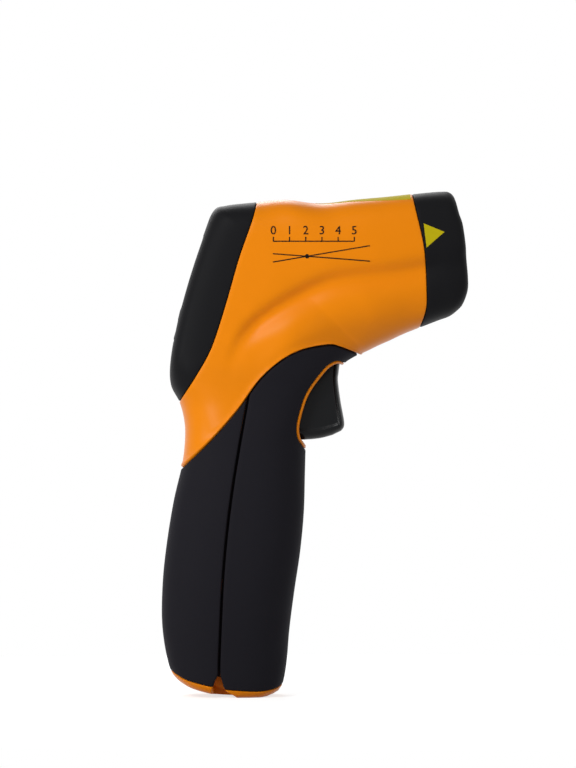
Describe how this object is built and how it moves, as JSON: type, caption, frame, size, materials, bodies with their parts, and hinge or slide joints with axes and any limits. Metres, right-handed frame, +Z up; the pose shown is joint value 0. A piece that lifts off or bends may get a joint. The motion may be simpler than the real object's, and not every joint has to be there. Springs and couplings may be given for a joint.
{
  "type": "infrared thermometer",
  "caption": "Pistol-form infrared thermometer with two-part moulded housing, soft-grip handle, hinged battery door, trigger, lens nose and rear display with buttons.",
  "frame": {"origin": "middle of the bounding box on the surface under the foot of the handle", "axes": "+X is the way the lens looks, +Y the user's left, +Z up along the handle"},
  "size_m": [0.1067, 0.048, 0.1761],
  "materials": {
    "orange_plastic": "fine spark texture, satin",
    "black_plastic": "fine spark texture, satin",
    "soft_grip": "soft-touch overmoulding, matt",
    "trigger_plastic": "smooth, semi-gloss",
    "button_rubber": "smooth, matt",
    "window_clear": "clear, polished",
    "laser_clear": "tinted, polished",
    "lens_dark": "polished, dark infrared lens",
    "lcd_glass": "flat grey-green display",
    "backlight_white": "white light guide",
    "contact_rubber": "striped conductive rubber",
    "circuit_board": "solder mask, satin",
    "dark_component": "moulded, matt",
    "steel": "plain, bright",
    "sensor_can": "plated can",
    "red_plastic": "moulded, matt",
    "battery_case": "plain printed can",
    "foam": "closed-cell foam",
    "wire_red": "insulated wire",
    "wire_black": "insulated wire",
    "wire_blue": "insulated wire",
    "ribbon_amber": "flexible printed circuit",
    "laser_brass": "turned"
  },
  "bodies": {
    "housing": {"right_shell": "orange_plastic", "left_shell": "orange_plastic", "right_grip": "soft_grip", "left_grip": "soft_grip", "nose_cover": "black_plastic", "rear_bezel": "black_plastic", "display_window": "window_clear", "lcd_panel": "lcd_glass", "lcd_backlight": "backlight_white", "zebra_strip": "contact_rubber", "main_board": "circuit_board", "board_chips": "dark_component", "board_screws": "steel", "buzzer": "dark_component", "keypad_mat": "button_rubber", "trigger_pin": "steel", "trigger_spring": "steel", "trigger_switch": "dark_component", "switch_leads": "wire_blue", "battery": "battery_case", "battery_snap": "dark_component", "lead_red": "wire_red", "lead_black": "wire_black", "lens": "lens_dark", "lens_ring": "black_plastic", "optics_tube": "black_plastic", "thermal_sensor": "sensor_can", "sensor_board": "circuit_board", "sensor_ribbon": "ribbon_amber", "laser_module": "laser_brass", "laser_bracket": "black_plastic", "laser_window": "laser_clear", "laser_leads": "wire_red", "shell_screws": "steel"},
    "door": {"door_frame": "orange_plastic", "door_grip": "soft_grip", "battery_pad": "foam"},
    "trigger": {"trigger": "trigger_plastic"},
    "plunger": {"switch_plunger": "red_plastic"},
    "button_left": {"button_left": "button_rubber"},
    "button_middle": {"button_middle": "button_rubber"},
    "button_right": {"button_right": "button_rubber"}
  },
  "joints": [
    {"name": "trigger_pull", "type": "hinge", "parent": "housing", "child": "trigger", "pos_m": [0.0012, 0, 0.1172], "axis": [0, 1, 0], "range_deg": [0, 9], "stiffness_Nm_per_rad": 0.25, "springref_deg": -6.88, "deforming": ["trigger_spring"]},
    {"name": "switch_press", "type": "slide", "parent": "housing", "child": "plunger", "axis": [0, 0, 1], "range_m": [0, 0.0012]},
    {"name": "battery_door_open", "type": "hinge", "parent": "housing", "child": "door", "pos_m": [-0.0315, 0, 0.0055], "axis": [0, 1, 0], "range_deg": [0, 55]},
    {"name": "left_button_press", "type": "slide", "parent": "housing", "child": "button_left", "axis": [0.9588, 0, -0.284], "range_m": [0, 0.0008], "stiffness_N_per_m": 800, "springref_m": -0.0004},
    {"name": "middle_button_press", "type": "slide", "parent": "housing", "child": "button_middle", "axis": [0.9588, 0, -0.284], "range_m": [0, 0.0008], "stiffness_N_per_m": 800, "springref_m": -0.0004},
    {"name": "right_button_press", "type": "slide", "parent": "housing", "child": "button_right", "axis": [0.9588, 0, -0.284], "range_m": [0, 0.0008], "stiffness_N_per_m": 800, "springref_m": -0.0004}
  ],
  "couplings": [
    {"joint": "switch_press", "follows": "trigger_pull", "m_per_rad": 0.0073}
  ]
}
